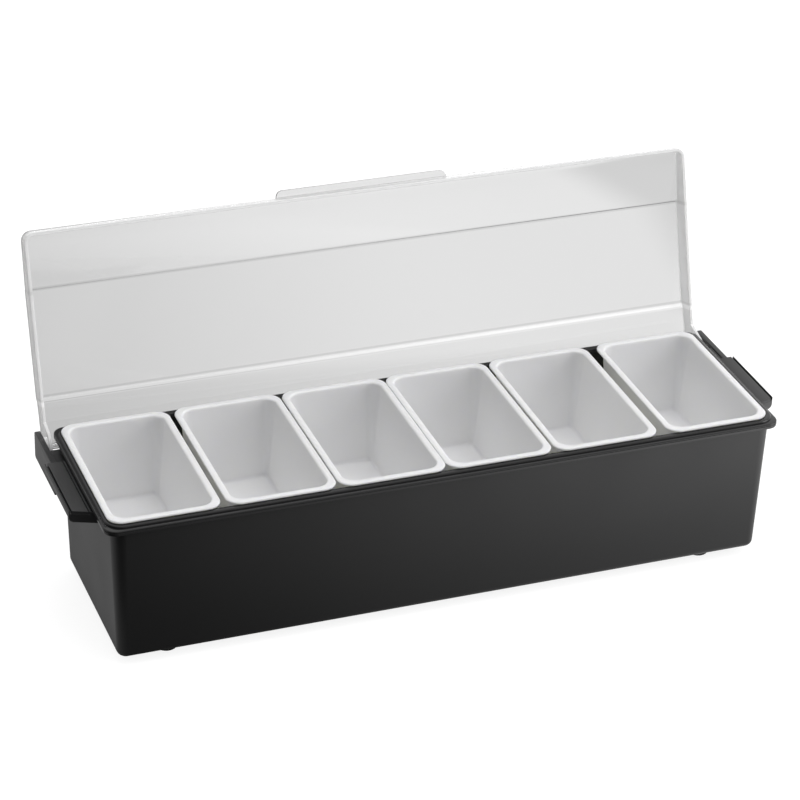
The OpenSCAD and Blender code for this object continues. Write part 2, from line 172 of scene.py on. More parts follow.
def ramp(tree, value, start, end, low, high, shape="SMOOTHSTEP"):
    """A step from low to high between two values, soft at both ends unless it is LINEAR."""
    step = add_node(tree, "ShaderNodeMapRange", interpolation_type=shape)
    for name, number in (
        ("From Min", start), ("From Max", end), ("To Min", low), ("To Max", high),
    ):
        step.inputs[name].default_value = number
    tree.links.new(value, step.inputs["Value"])
    return step.outputs["Result"]


def object_place(tree):
    """The Object coordinates of the point that is shaded."""
    return add_node(tree, "ShaderNodeTexCoord").outputs["Object"]


def parts_of(tree, place):
    """The x, y and z sockets of a place."""
    split = add_node(tree, "ShaderNodeSeparateXYZ")
    tree.links.new(place, split.inputs[0])
    return tuple(split.outputs)


def mix_surfaces(tree, share, first, second):
    """Mixes two shader nodes; share is how much of the second there is."""
    mix = add_node(tree, "ShaderNodeMixShader")
    tree.links.new(share, mix.inputs[0])
    tree.links.new(first.outputs[0], mix.inputs[1])
    tree.links.new(second.outputs[0], mix.inputs[2])
    return mix


# %% [markdown]
# ## Black moulded plastic
#
# The tub's walls are moulded against a spark-eroded steel mould, which leaves an even grain
# about half a millimetre across. The grain scatters the highlight, so the wall looks satin.
# The bump has two layers: the grain itself, and a slow waviness many centimetres long from the
# cooling plastic. Roughness varies a little with the same waviness.
#
# The same black plastic is polished on the rim, plainer on the handles and finer on the grip
# pads, so one function makes all of them from a few numbers: how dark it is, how rough, and
# the size and depth of its grain.

# %% Black plastic finishes
PLASTIC_IOR = 1.5
WAVES_PER_METRE = 14
GRAIN_STRENGTH = 0.6
GRAIN_DARK = (0.86, 0.86, 0.88)
GRAIN_LIGHT = (1.14, 1.14, 1.17)
# nearly all of a noise's values lie between these two
NOISE_LOW = 0.3
NOISE_HIGH = 0.7


def start_material(name):
    """A new node material; returns it with its tree and its Principled shader."""
    material = bpy.data.materials.new(name)
    material.use_nodes = True
    tree = material.node_tree
    shader = tree.nodes["Principled BSDF"]
    return material, tree, shader


def noise_of(tree, scale, detail=2.0, roughness=0.5):
    """Noise on Object coordinates; scale is how many grains fit in a metre."""
    noise = add_node(tree, "ShaderNodeTexNoise")
    noise.inputs["Scale"].default_value = scale
    noise.inputs["Detail"].default_value = detail
    noise.inputs["Roughness"].default_value = roughness
    tree.links.new(object_place(tree), noise.inputs["Vector"])
    return noise.outputs["Fac"]


def spread(tree, noise, low, high):
    """Spreads a noise evenly over low to high."""
    return ramp(tree, noise, NOISE_LOW, NOISE_HIGH, low, high, shape="LINEAR")


def stack_bumps(tree, shader, bumps):
    """Chains Bump nodes; each entry is (height socket, distance in metres, strength)."""
    normal = None
    for height, distance, strength in bumps:
        bump = add_node(tree, "ShaderNodeBump")
        bump.inputs["Distance"].default_value = distance
        bump.inputs["Strength"].default_value = strength
        tree.links.new(height, bump.inputs["Height"])
        if normal is not None:
            tree.links.new(normal, bump.inputs["Normal"])
        normal = bump.outputs["Normal"]
    tree.links.new(normal, shader.inputs["Normal"])


def black_plastic(name, tone, roughness, grain, grain_depth, wave_depth):
    """Black moulded plastic; grain and depths are in millimetres."""
    material, tree, shader = start_material(name)
    slow = noise_of(tree, WAVES_PER_METRE, detail=1.0)
    fine = noise_of(tree, 1 / (grain * MM), detail=3.0, roughness=0.6)
    shade = add_node(tree, "ShaderNodeMix", data_type="RGBA")
    shade.inputs[6].default_value = [share * tone for share in GRAIN_DARK] + [1]
    shade.inputs[7].default_value = [share * tone for share in GRAIN_LIGHT] + [1]
    tree.links.new(fine, shade.inputs[0])
    tree.links.new(shade.outputs[2], shader.inputs["Base Color"])
    tree.links.new(spread(tree, slow, *roughness), shader.inputs["Roughness"])
    shader.inputs["IOR"].default_value = PLASTIC_IOR
    stack_bumps(tree, shader, [
        (slow, wave_depth * MM, 1.0), (fine, grain_depth * MM, GRAIN_STRENGTH),
    ])
    return material


wall_black = black_plastic(
    "textured_black_wall", tone=0.011, roughness=(0.40, 0.46),
    grain=0.55, grain_depth=0.05, wave_depth=0.5,
)
rim_black = black_plastic(
    "polished_black_rim", tone=0.012, roughness=(0.10, 0.17),
    grain=3.0, grain_depth=0.004, wave_depth=0.12,
)
handle_black = black_plastic(
    "satin_black_handle", tone=0.018, roughness=(0.32, 0.40),
    grain=0.7, grain_depth=0.03, wave_depth=0.2,
)
pad_black = black_plastic(
    "fine_black_grip_pad", tone=0.020, roughness=(0.42, 0.50),
    grain=0.4, grain_depth=0.03, wave_depth=0.1,
)
print("black finishes:", [m.name for m in (wall_black, rim_black, handle_black, pad_black)])

# %% [markdown]
# ## White trays, rubber feet
#
# The trays are glossy white plastic. Light enters white plastic a few millimetres deep before
# it comes back, so most of the white is a subsurface share. It evens out the inside corners and
# carries light into the dark gaps between the trays. Glossy white still has a faint orange-peel
# waviness, which a shallow bump gives. The feet are dull rubber with a coarse grain.

# %% White and rubber finishes
TRAY_WHITE = (0.88, 0.88, 0.875, 1)
TRAY_LIGHT_SHARE = 0.8
TRAY_LIGHT_DEPTH = 5.0
TRAY_LIGHT_SPREAD = (1.0, 1.0, 0.9)
TRAY_ROUGHNESS = (0.32, 0.38)
TRAY_WAVES_PER_METRE = 30
TRAY_WAVE_DEPTH = 0.03
TRAY_GRAINS_PER_METRE = 900
TRAY_GRAIN_DEPTH = 0.008
TRAY_GRAIN_STRENGTH = 0.4
RUBBER_BLACK = (0.014, 0.014, 0.014, 1)
RUBBER_ROUGHNESS = (0.6, 0.78)
RUBBER_GRAINS_PER_METRE = 1500
RUBBER_GRAIN_DEPTH = 0.08


def white_plastic():
    """Glossy white plastic of the lift-out trays."""
    material, tree, shader = start_material("glossy_white_tray")
    slow = noise_of(tree, TRAY_WAVES_PER_METRE, detail=1.0)
    fine = noise_of(tree, TRAY_GRAINS_PER_METRE, detail=2.0)
    shader.inputs["Base Color"].default_value = TRAY_WHITE
    shader.inputs["IOR"].default_value = PLASTIC_IOR
    shader.inputs["Subsurface Weight"].default_value = TRAY_LIGHT_SHARE
    shader.inputs["Subsurface Radius"].default_value = TRAY_LIGHT_SPREAD
    shader.inputs["Subsurface Scale"].default_value = TRAY_LIGHT_DEPTH * MM
    tree.links.new(spread(tree, slow, *TRAY_ROUGHNESS), shader.inputs["Roughness"])
    stack_bumps(tree, shader, [
        (slow, TRAY_WAVE_DEPTH * MM, 1.0),
        (fine, TRAY_GRAIN_DEPTH * MM, TRAY_GRAIN_STRENGTH),
    ])
    return material


def rubber():
    """Dull black rubber of the feet."""
    material, tree, shader = start_material("black_rubber_foot")
    grain = noise_of(tree, RUBBER_GRAINS_PER_METRE, detail=3.0)
    shader.inputs["Base Color"].default_value = RUBBER_BLACK
    tree.links.new(spread(tree, grain, *RUBBER_ROUGHNESS), shader.inputs["Roughness"])
    stack_bumps(tree, shader, [(grain, RUBBER_GRAIN_DEPTH * MM, GRAIN_STRENGTH)])
    return material


tray_white = white_plastic()
foot_rubber = rubber()
print("tray and foot finishes:", [tray_white.name, foot_rubber.name])

# %% [markdown]
# ## Clear lid plastic
#
# The lid is one clear moulding about two millimetres thick. It is a closed solid with a
# transmitting shader, so light bends on the way in and on the way out. Each surface takes a
# little light, which gives the panel its grey against white. A shadow ray passes straight
# through, because real clear plastic hardly darkens what stands under it and a bent shadow
# would only add noise.
#
# Two looks are painted where the moulding is not even. The panel has two creases along its
# length, and the thin line of light that each bends is painted into the tint: a painted dark
# line at one, and a painted dark line with a painted bright band at the other. The walls that
# turn down at its ends and front are seen almost edge on and gather light along the panel; that
# light is painted as a paler tint and a faint glow, and the walls are also a little frosted.
# Both are laid out on the panel as it stands open in its CAD place, by the distance along the
# tub and the distance from the hinge.

# %% Places on the lid
LID_LEAN = math.radians(106.6)
HINGE_Y = 43.11
HINGE_Z = 104.0


def lid_places(tree):
    """Places on the open lid: along the tub, and away from the hinge along the panel."""
    x, y, z = parts_of(tree, object_place(tree))
    back = compute(tree, "SUBTRACT", y, HINGE_Y * MM)
    up = compute(tree, "SUBTRACT", z, HINGE_Z * MM)
    reach = compute(
        tree, "ADD",
        compute(tree, "MULTIPLY", back, -math.cos(LID_LEAN)),
        compute(tree, "MULTIPLY", up, math.sin(LID_LEAN)),
    )
    return x, reach


# %% The lid's walls, which get frost, painted paleness and painted glow
LID_HALF = 255.6
LID_FRONT = 150.3
LID_CORNER = 7.0
LID_WALL = 2.8
EDGE_SOFT = 0.4
TAB_STEP = 0.3
TAB_START = LID_FRONT + TAB_STEP


def lid_edge(tree, along, reach):
    """1 in the lid's turned-down end and front walls, 0 elsewhere: frost, painted paleness,
    glow.
    """
    squares = []
    for place, edge in ((compute(tree, "ABSOLUTE", along), LID_HALF), (reach, LID_FRONT)):
        past = compute(tree, "SUBTRACT", place, (edge - LID_CORNER) * MM)
        past = compute(tree, "MAXIMUM", past, 0.0)
        squares.append(compute(tree, "MULTIPLY", past, past))
    away = compute(tree, "SQRT", compute(tree, "ADD", *squares))
    inner = LID_CORNER - LID_WALL
    wall = ramp(tree, away, inner * MM, (inner + EDGE_SOFT) * MM, 0.0, 1.0)
    not_tab = ramp(tree, reach, TAB_START * MM, (TAB_START + EDGE_SOFT) * MM, 1.0, 0.0)
    return compute(tree, "MULTIPLY", wall, not_tab)


# %% The lid's creases, drawn as painted lines
LID_TINT = 0.80
# each painted line's distance from the hinge, half width and soft edge in millimetres, and its
# tint: under 1 it is a painted dark line, over 1 a painted bright band
LID_PAINTED_LINES = (
    (107.3, 0.7, 1.2, 0.84),
    (29.1, 0.3, 0.9, 0.86),
    (26.1, 1.0, 1.2, 1.2),
)


def lid_tint_with_painted_lines(tree, reach):
    """The lid's clearness, with painted dark lines and a painted bright band at its creases."""
    tint = LID_TINT
    for middle, half, soft, strength in LID_PAINTED_LINES:
        away = compute(tree, "ABSOLUTE", compute(tree, "SUBTRACT", reach, middle * MM))
        # a painted line of shade, or of highlight where its tint is over 1
        line = ramp(tree, away, half * MM, (half + soft) * MM, strength, 1.0)
        tint = compute(tree, "MULTIPLY", line, tint)
    return tint


# %% Clear finish
LID_IOR = 1.49
LID_SHADOW = 0.86
LID_ROUGHNESS = (0.02, 0.05)
LID_WAVES_PER_METRE = 9
LID_WAVE_DEPTH = 0.4
LID_GRAINS_PER_METRE = 260
LID_GRAIN_DEPTH = 0.01
LID_GRAIN_STRENGTH = 0.5
# the walls' frost, and their painted paleness and painted glow in place of light they gather
EDGE_FROST = 0.6
PAINTED_WALL_PALENESS = 0.1
PAINTED_WALL_GLOW = 0.07


def clear_plastic():
    """Clear moulded plastic, faint grey tint, painted crease lines, painted pale glowing walls.
    """
    material, tree, shader = start_material("clear_lid_plastic")
    slow = noise_of(tree, LID_WAVES_PER_METRE, detail=1.0)
    fine = noise_of(tree, LID_GRAINS_PER_METRE, detail=2.0)
    along, reach = lid_places(tree)
    edge = lid_edge(tree, along, reach)
    # painted paleness: a lighter tint in the walls
    painted_paleness = compute(tree, "ADD", 1.0, compute(tree, "MULTIPLY", edge, PAINTED_WALL_PALENESS))
    tint = compute(tree, "MULTIPLY", lid_tint_with_painted_lines(tree, reach), painted_paleness)
    # painted glow: the walls emit light, though they are no lamp
    glow = compute(tree, "MULTIPLY", edge, PAINTED_WALL_GLOW)
    clearness = compute(tree, "SUBTRACT", 1.0, compute(tree, "MULTIPLY", edge, EDGE_FROST))
    tree.links.new(tint, shader.inputs["Base Color"])
    tree.links.new(glow, shader.inputs["Emission Strength"])
    tree.links.new(clearness, shader.inputs["Transmission Weight"])
    tree.links.new(spread(tree, fine, *LID_ROUGHNESS), shader.inputs["Roughness"])
    shader.inputs["Emission Color"].default_value = (1, 1, 1, 1)
    shader.inputs["IOR"].default_value = LID_IOR
    stack_bumps(tree, shader, [
        (slow, LID_WAVE_DEPTH * MM, 1.0),
        (fine, LID_GRAIN_DEPTH * MM, LID_GRAIN_STRENGTH),
    ])
    straight = add_node(tree, "ShaderNodeBsdfTransparent")
    straight.inputs["Color"].default_value = (LID_SHADOW, LID_SHADOW, LID_SHADOW, 1)
    ray = add_node(tree, "ShaderNodeLightPath")
    either = mix_surfaces(tree, ray.outputs["Is Shadow Ray"], shader, straight)
    tree.links.new(either.outputs[0], tree.nodes["Material Output"].inputs["Surface"])
    return material


lid_clear = clear_plastic()
print("lid finish:", lid_clear.name)

# %% [markdown]
# ## One rule for the tub, its rim, the trays and the feet
#
# All of these are stacks of rounded rectangles. At each height the outline is a rectangle with
# a half length, a half width and a corner radius, and the surface runs from one outline to the
# next. A foot is the same thing with its radius equal to its half length.
#
# Sweeping a profile round a path would also work, but a sweep keeps one offset everywhere, and
# a tray's rim has another corner radius than its body. A Geometry Nodes tree that reads a list
# of levels gives each level its own three sizes. The levels are the points of the input mesh:
# x is the half length, y the half width, z the height, and the attribute `corner` the radius.
# The tree lays a grid with one row per level, bends each row round its outline, and welds it.

# %% A grid with one row for each level
def name_sockets(tree):
    """Names what goes into the tree and what comes out of it."""
    panel = tree.interface
    for name, kind in (
        ("Levels", "Geometry"), ("Corner Steps", "Int"), ("Centre", "Vector"),
        ("Crease Angle", "Float"), ("Finish", "Material"),
    ):
        panel.new_socket(name, in_out="INPUT", socket_type="NodeSocket" + kind)
    panel.new_socket("Skin", in_out="OUTPUT", socket_type="NodeSocketGeometry")
    return add_node(tree, "NodeGroupInput"), add_node(tree, "NodeGroupOutput")


def level_grid(tree, given):
    """A grid with a row for each level, and how many points a corner and a row have."""
    size = add_node(tree, "GeometryNodeAttributeDomainSize", component="MESH")
    tree.links.new(given.outputs["Levels"], size.inputs[0])
    per_corner = compute_whole(tree, "ADD", given.outputs["Corner Steps"], 1)
    round_count = compute_whole(tree, "MULTIPLY", per_corner, 4)
    columns = compute_whole(tree, "ADD", round_count, 1)
    grid = add_node(tree, "GeometryNodeMeshGrid")
    tree.links.new(size.outputs["Point Count"], grid.inputs["Vertices X"])
    tree.links.new(columns, grid.inputs["Vertices Y"])
    return grid, per_corner, round_count, columns


# %% Where a point of the grid belongs
def spot_on_outline(tree, given, per_corner, round_count, columns):
    """A point's level, its angle, and on which side its corner lies along x and along y."""
    index = add_node(tree, "GeometryNodeInputIndex").outputs[0]
    level = compute_whole(tree, "DIVIDE_FLOOR", index, columns)
    column = compute_whole(tree, "FLOORED_MODULO", index, columns)
    around = compute_whole(tree, "FLOORED_MODULO", column, round_count)
    corner = compute_whole(tree, "DIVIDE_FLOOR", around, per_corner)
    step = compute_whole(tree, "FLOORED_MODULO", around, per_corner)
    part = compute(tree, "DIVIDE", step, given.outputs["Corner Steps"])
    quarters = compute(tree, "ADD", corner, part)
    angle = compute(tree, "MULTIPLY", quarters, math.pi / 2)
    diagonal = compute(tree, "MULTIPLY_ADD", corner, math.pi / 2, math.pi / 4)
    side_x = compute(tree, "SIGN", compute(tree, "COSINE", diagonal))
    side_y = compute(tree, "SIGN", compute(tree, "SINE", diagonal))
    return level, angle, side_x, side_y


def sizes_of_level(tree, given, level):
    """The half length, half width, height and corner radius of a level."""
    place = add_node(tree, "GeometryNodeInputPosition").outputs[0]
    sizes = add_node(tree, "GeometryNodeSampleIndex", data_type="FLOAT_VECTOR", domain="POINT")
    tree.links.new(given.outputs["Levels"], sizes.inputs["Geometry"])
    tree.links.new(place, sizes.inputs["Value"])
    tree.links.new(level, sizes.inputs["Index"])
    corner_size = add_node(tree, "GeometryNodeInputNamedAttribute", data_type="FLOAT")
    corner_size.inputs["Name"].default_value = "corner"
    radius = add_node(tree, "GeometryNodeSampleIndex", data_type="FLOAT", domain="POINT")
    tree.links.new(given.outputs["Levels"], radius.inputs["Geometry"])
    tree.links.new(corner_size.outputs["Attribute"], radius.inputs["Value"])
    tree.links.new(level, radius.inputs["Index"])
    return *parts_of(tree, sizes.outputs["Value"]), radius.outputs["Value"]


# %% Bend, weld, smooth and paint
WELD_REACH = 1e-6


def bend_rows(tree, given):
    """Lays the grid and bends each row round its outline: corner centre plus turned radius."""
    grid, *counts = level_grid(tree, given)
    level, angle, side_x, side_y = spot_on_outline(tree, given, *counts)
    half_x, half_y, height, radius = sizes_of_level(tree, given, level)
    join = add_node(tree, "ShaderNodeCombineXYZ")
    for axis, half, side, wave in (
        ("X", half_x, side_x, "COSINE"), ("Y", half_y, side_y, "SINE"),
    ):
        to_centre = compute(tree, "SUBTRACT", half, radius)
        centre = compute(tree, "MULTIPLY", to_centre, side)
        reach = compute(tree, "MULTIPLY", compute(tree, wave, angle), radius)
        tree.links.new(compute(tree, "ADD", centre, reach), join.inputs[axis])
    tree.links.new(height, join.inputs["Z"])
    bend = add_node(tree, "GeometryNodeSetPosition")
    tree.links.new(grid.outputs["Mesh"], bend.inputs["Geometry"])
    tree.links.new(join.outputs[0], bend.inputs["Position"])
    tree.links.new(given.outputs["Centre"], bend.inputs["Offset"])
    return bend


def weld_skin(tree, bent):
    """Welds the seam, the closed ends and the floor line, and turns the skin outwards."""
    weld = add_node(tree, "GeometryNodeMergeByDistance")
    weld.inputs["Distance"].default_value = WELD_REACH
    outwards = add_node(tree, "GeometryNodeFlipFaces")
    tree.links.new(bent.outputs[0], weld.inputs["Geometry"])
    tree.links.new(weld.outputs[0], outwards.inputs["Mesh"])
    return outwards


def smooth_and_paint(tree, given, skin):
    """Smooths the skin everywhere but along real creases, and gives it its finish."""
    edge_angle = add_node(tree, "GeometryNodeInputMeshEdgeAngle")
    crease = add_node(tree, "FunctionNodeCompare", data_type="FLOAT", operation="GREATER_THAN")
    tree.links.new(edge_angle.outputs["Unsigned Angle"], crease.inputs[0])
    tree.links.new(given.outputs["Crease Angle"], crease.inputs[1])
    smooth = add_node(tree, "GeometryNodeSetShadeSmooth", domain="FACE")
    sharp = add_node(tree, "GeometryNodeSetShadeSmooth", domain="EDGE")
    sharp.inputs["Shade Smooth"].default_value = False
    real = add_node(tree, "GeometryNodeRealizeInstances")
    paint = add_node(tree, "GeometryNodeSetMaterial")
    tree.links.new(skin.outputs[0], smooth.inputs["Geometry"])
    tree.links.new(smooth.outputs[0], sharp.inputs["Geometry"])
    tree.links.new(crease.outputs[0], sharp.inputs["Selection"])
    tree.links.new(sharp.outputs[0], real.inputs[0])
    tree.links.new(real.outputs[0], paint.inputs["Geometry"])
    tree.links.new(given.outputs["Finish"], paint.inputs["Material"])
    return paint


# %% The whole tree of levels
def make_level_tree():
    """Geometry Nodes: turns a list of levels into a closed skin of rounded rectangles."""
    tree = bpy.data.node_groups.new("rounded_levels", "GeometryNodeTree")
    given, result = name_sockets(tree)
    skin = weld_skin(tree, bend_rows(tree, given))
    painted = smooth_and_paint(tree, given, skin)
    tree.links.new(painted.outputs[0], result.inputs[0])
    return tree


level_tree = make_level_tree()
print("tree of levels:", len(level_tree.nodes), "nodes")

# %% [markdown]
# ## From an outline to levels
#
# The levels are worked out from a cross-section, drawn the way a toolmaker draws it: a few
# corner points, each with the radius that softens it. `soften` puts the arcs in. `levels_on`
# carries the section round a rectangle of corner axes, so that a point at distance d from the
# axis gets the corner radius d.

# %% Outline helpers
def soften(outline, closed=False, steps=6):
    """Puts an arc in place of each corner (distance, height, radius) of an outline."""
    line = []
    count = len(outline)
    for i, (distance, height, radius) in enumerate(outline):
        here = Vector((distance, height))
        at_end = not closed and i in (0, count - 1)
        if radius == 0 or at_end:
            line.append(here)
            continue
        to_last = (Vector(outline[i - 1][:2]) - here).normalized()
        to_next = (Vector(outline[(i + 1) % count][:2]) - here).normalized()
        half = to_last.angle(to_next) / 2
        middle = here + (to_last + to_next).normalized() * (radius / math.sin(half))
        start = here + to_last * (radius / math.tan(half)) - middle
        turn = math.pi - 2 * half
        if to_last.cross(to_next) > 0:
            turn = -turn
        for k in range(steps + 1):
            a = turn * k / steps
            spun = Vector((
                start.x * math.cos(a) - start.y * math.sin(a),
                start.x * math.sin(a) + start.y * math.cos(a),
            ))
            line.append(middle + spun)
    if closed:
        line.append(line[0].copy())
    return line


def levels_on(axis_x, axis_y, line):
    """Levels of a section carried round corner axes at (+-axis_x, +-axis_y)."""
    return [(axis_x + d, axis_y + d, d, z) for d, z in line]


def floor_line(axis_x, axis_y, height):
    """The level that closes a flat floor along the centre line of its longer side."""
    half = min(axis_x, axis_y)
    return (axis_x - half, axis_y - half, 0, height)


# %% From levels to a mesh
CORNER_STEPS = 12
FINE_CORNER_STEPS = 16
SMOOTH_UP_TO = math.radians(32)
CM3_PER_M3 = 1e6


def describe(piece):
    """Prints what a finished mesh is: its faces, open edges and volume."""
    skin = bmesh.new()
    skin.from_mesh(piece.data)
    open_edges = sum(1 for edge in skin.edges if len(edge.link_faces) != 2)
    volume = skin.calc_volume(signed=True) * CM3_PER_M3
    print(f"{piece.name}: {len(skin.faces)} faces, {open_edges} open edges, {volume:.1f} cm3")
    skin.free()


def freeze(piece):
    """Turns a piece and its modifiers into one plain mesh."""
    depsgraph = bpy.context.evaluated_depsgraph_get()
    mesh = bpy.data.meshes.new_from_object(piece.evaluated_get(depsgraph), depsgraph=depsgraph)
    piece.modifiers.clear()
    piece.data = mesh
    mesh.name = piece.name
    describe(piece)
    return piece


def skin_of_levels(name, levels, centre, finish, corner_steps=CORNER_STEPS):
    """One piece from levels in millimetres, through the tree of levels."""
    mesh = bpy.data.meshes.new(name)
    mesh.from_pydata([(x * MM, y * MM, z * MM) for x, y, r, z in levels], [], [])
    corner = mesh.attributes.new("corner", "FLOAT", "POINT")
    corner.data.foreach_set("value", [r * MM for x, y, r, z in levels])
    piece = bpy.data.objects.new(name, mesh)
    bpy.context.collection.objects.link(piece)
    modifier = piece.modifiers.new("levels", "NODES")
    modifier.node_group = level_tree
    inputs = {
        "Corner Steps": corner_steps,
        "Centre": Vector(centre) * MM,
        "Crease Angle": SMOOTH_UP_TO,
        "Finish": finish,
    }
    for item in level_tree.interface.items_tree:
        if item.in_out == "INPUT" and item.name in inputs:
            modifier[item.identifier] = inputs[item.name]
    return freeze(piece)


# %% [markdown]
# ## The tub's wall and floor
#
# The wall leans inwards by less than two degrees on its way down, so that the moulding leaves
# its steel, and runs into the floor with a round of 5.5 mm. The section starts on the floor's
# centre line, goes out and up the outside, over into the rim, and back down the inside.

# %% Tub shell
WALL = 2.0
FLOOR = 2.5
DRAFT = math.tan(math.radians(1.75))
WALL_CORNER = 10.0
WALL_BEND = 5.5
RIM_OVER_X = 5.2
RIM_OVER_Y = 2.8
BEAD_HIGH = 1.8
LIP_DEEP = 4.0
PLATE_THICK = 2.0
WALL_IN_PLATE = 0.9
RIM_TOP = BEAD_TOP - BEAD_HIGH
LIP_LOW = RIM_TOP - LIP_DEEP
PLATE_LOW = RIM_TOP - PLATE_THICK
TUB_CENTRE = (0, TUB_MIDDLE_Y, 0)

wall_axis_x = RIM_HALF_X - RIM_OVER_X - WALL_CORNER
wall_axis_y = RIM_HALF_Y - RIM_OVER_Y - WALL_CORNER


def wall_at(height):
    """Distance of the wall's outside from the corner axis at a height."""
    return WALL_CORNER - (LIP_LOW - height) * DRAFT


def tub_shell():
    """Wall and floor of the tub, up into the rim's plate."""
    top = PLATE_LOW + WALL_IN_PLATE
    inside = TUB_BOTTOM + FLOOR
    section = soften([
        (0, TUB_BOTTOM, 0),
        (wall_at(TUB_BOTTOM), TUB_BOTTOM, WALL_BEND),
        (wall_at(top), top, 0),
        (wall_at(top) - WALL, top, 0),
        (wall_at(inside) - WALL, inside, WALL_BEND - WALL),
        (0, inside, 0),
    ], steps=8)
    levels = [floor_line(wall_axis_x, wall_axis_y, TUB_BOTTOM)]
    levels += levels_on(wall_axis_x, wall_axis_y, section)
    levels.append(floor_line(wall_axis_x, wall_axis_y, inside))
    return skin_of_levels(
        "tub_shell", levels, TUB_CENTRE, wall_black, corner_steps=FINE_CORNER_STEPS,
    )


shell = tub_shell()

# %% [markdown]
# ## The rim and its bead
#
# A plate closes the step from the wall out to the rim, a lip turns down round it, and a fine
# groove runs round the lip just under its rounded edge. A raised bead frames the opening and
# carries the trays. Rim and bead have different corner radii, so each is its own stack. The
# bead dips a little into the plate, where the two are one moulding.

# %% Rim and bead
RIM_CORNER = 9.0
RIM_EDGE = 0.9
GROOVE_DEEP = 0.4
GROOVE_WIDE = 0.6
GROOVE_BELOW_TOP = 1.1
GROOVE_TOP = RIM_TOP - GROOVE_BELOW_TOP
GROOVE_ROUND = 0.1
GROOVE_LIP_ROUND = 0.12
PLATE_IN = 3.0
LIP_THICK = 2.0
LIP_ROUND_OUT = 0.5
LIP_ROUND_IN = 0.3
LIP_ROOT = 0.4
OPENING_CORNER = 7.0
BEAD_WIDE = 5.0
BEAD_EDGE = 1.4
BEAD_IN_PLATE = 0.2
opening_half_x = RIM_HALF_X - RIM_OVER_X - WALL
opening_half_y = RIM_HALF_Y - RIM_OVER_Y - BEAD_WIDE


def tub_rim():
    """Plate and turned-down lip with its groove."""
    axis_x = RIM_HALF_X - RIM_CORNER
    axis_y = RIM_HALF_Y - RIM_CORNER
    lip_in = RIM_CORNER - LIP_THICK
    groove_low = GROOVE_TOP - GROOVE_WIDE
    section = soften([
        (lip_in, LIP_LOW, LIP_ROUND_IN),
        (RIM_CORNER, LIP_LOW, LIP_ROUND_OUT),
        (RIM_CORNER, groove_low, GROOVE_LIP_ROUND),
        (RIM_CORNER - GROOVE_DEEP, groove_low, GROOVE_ROUND),
        (RIM_CORNER - GROOVE_DEEP, GROOVE_TOP, GROOVE_ROUND),
        (RIM_CORNER, GROOVE_TOP, GROOVE_LIP_ROUND),
        (RIM_CORNER, RIM_TOP, RIM_EDGE),
        (PLATE_IN, RIM_TOP, 0),
        (PLATE_IN, PLATE_LOW, 0),
        (lip_in, PLATE_LOW, LIP_ROOT),
    ], closed=True, steps=4)
    levels = levels_on(axis_x, axis_y, section)
    return skin_of_levels(
        "tub_rim", levels, TUB_CENTRE, rim_black, corner_steps=FINE_CORNER_STEPS,
    )


def tub_bead():
    """Raised bead round the opening."""
    axis_x = opening_half_x - OPENING_CORNER
    axis_y = opening_half_y - OPENING_CORNER
    low = PLATE_LOW + BEAD_IN_PLATE
    section = soften([
        (OPENING_CORNER, low, 0),
        (OPENING_CORNER + BEAD_WIDE, low, 0),
        (OPENING_CORNER + BEAD_WIDE, BEAD_TOP, BEAD_EDGE),
        (OPENING_CORNER, BEAD_TOP, BEAD_EDGE),
    ], closed=True, steps=8)
    levels = levels_on(axis_x, axis_y, section)
    return skin_of_levels(
        "tub_bead", levels, TUB_CENTRE, rim_black, corner_steps=FINE_CORNER_STEPS,
    )


rim = tub_rim()
bead = tub_bead()

# %% [markdown]
# ## Holes for the handles' pegs and seats for the feet
#
# Each handle is held by two pegs through the end wall, and each foot sits in a shallow round
# recess. A Boolean cut is the honest way to make them: the cutters are plain round bars at the
# pegs' and feet's own places, and they vanish once the cut is frozen into the mesh.

# %% Cuts in the shell
PEG_HOLE = 2.6
PEG_SIDE = 24.0
PEG_BELOW_RIM = 8.6
PEG_HEIGHT = RIM_TOP - PEG_BELOW_RIM
BAR_SIDES = 48
FOOT_PLAY = 0.1
FOOT_SEAT = FOOT_RADIUS + FOOT_PLAY
FOOT_SUNK = 0.8
foot_x = (foot_low.x + foot_high.x) / 2
foot_y = TUB_MIDDLE_Y - (foot_low.y + foot_high.y) / 2


def round_bar(skin, radius, length, place):
    """Adds a round bar along Z, centred, then put in place by a matrix."""
    bmesh.ops.create_cone(
        skin, cap_ends=True, segments=BAR_SIDES, radius1=radius * MM, radius2=radius * MM,
        depth=length * MM, matrix=place,
    )


def cut_shell(piece):
    """Cuts four peg holes and four foot seats."""
    cutter_mesh = bpy.data.meshes.new("shell_cutters")
    skin = bmesh.new()
    for side in (-1, 1):
        lean = Matrix.Rotation(side * (math.pi / 2 - math.atan(DRAFT)), 4, "Y")
        wall_x = side * (wall_axis_x + wall_at(PEG_HEIGHT))
        for y in (-PEG_SIDE, PEG_SIDE):
            spot = Vector((wall_x, TUB_MIDDLE_Y + y, PEG_HEIGHT)) * MM
            round_bar(skin, PEG_HOLE, 3 * WALL, Matrix.Translation(spot) @ lean)
        for y in (-foot_y, foot_y):
            spot = Vector((side * foot_x, TUB_MIDDLE_Y + y, TUB_BOTTOM)) * MM
            round_bar(skin, FOOT_SEAT, 2 * FOOT_SUNK, Matrix.Translation(spot))
    skin.to_mesh(cutter_mesh)
    skin.free()
    cutter = bpy.data.objects.new("shell_cutters", cutter_mesh)
    bpy.context.collection.objects.link(cutter)
    cut = piece.modifiers.new("cuts", "BOOLEAN")
    cut.operation = "DIFFERENCE"
    cut.solver = "EXACT"
    cut.object = cutter
    freeze(piece)
    bpy.data.objects.remove(cutter)


cut_shell(shell)
for piece in (shell, rim, bead):
    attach(piece, "base")
    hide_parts("base_tub")

